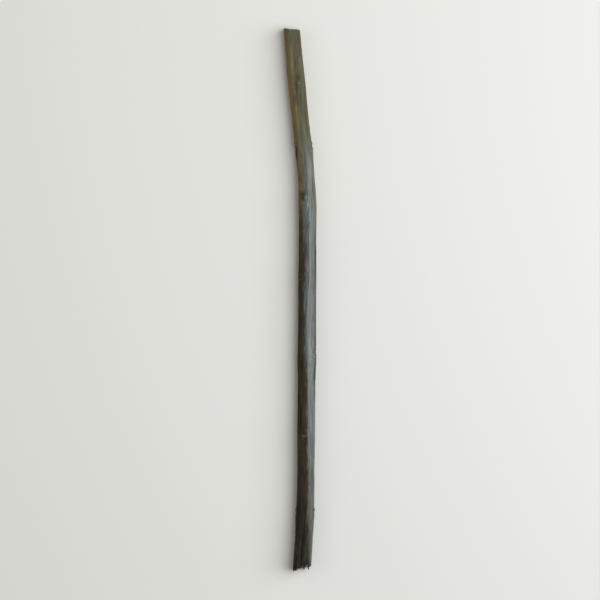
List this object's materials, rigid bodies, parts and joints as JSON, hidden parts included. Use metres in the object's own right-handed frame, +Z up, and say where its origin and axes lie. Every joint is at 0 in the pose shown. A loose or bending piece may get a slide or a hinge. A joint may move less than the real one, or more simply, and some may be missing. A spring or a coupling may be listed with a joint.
{
  "type": "miswak stick",
  "caption": "Chewing stick cut from an olive twig, bark left on, gently bent at its nodes, lying on a flat surface.",
  "frame": {"origin": "on the table, under the middle of the stick's box", "axes": "+Y along the stick from its thick base end to its tip end, +Z up from the table it lies on, +X to the right seen from above with the tip away"},
  "size_m": [0.0116, 0.1914, 0.0075],
  "materials": {
    "bark": "dark olive-brown dried bark, finely ribbed along the twig, with a satin sheen",
    "cut_wood": "dull yellow-brown wood of the cut ends and their frayed fibres"
  },
  "bodies": {
    "root": {"stick": "bark"}
  },
  "joints": []
}
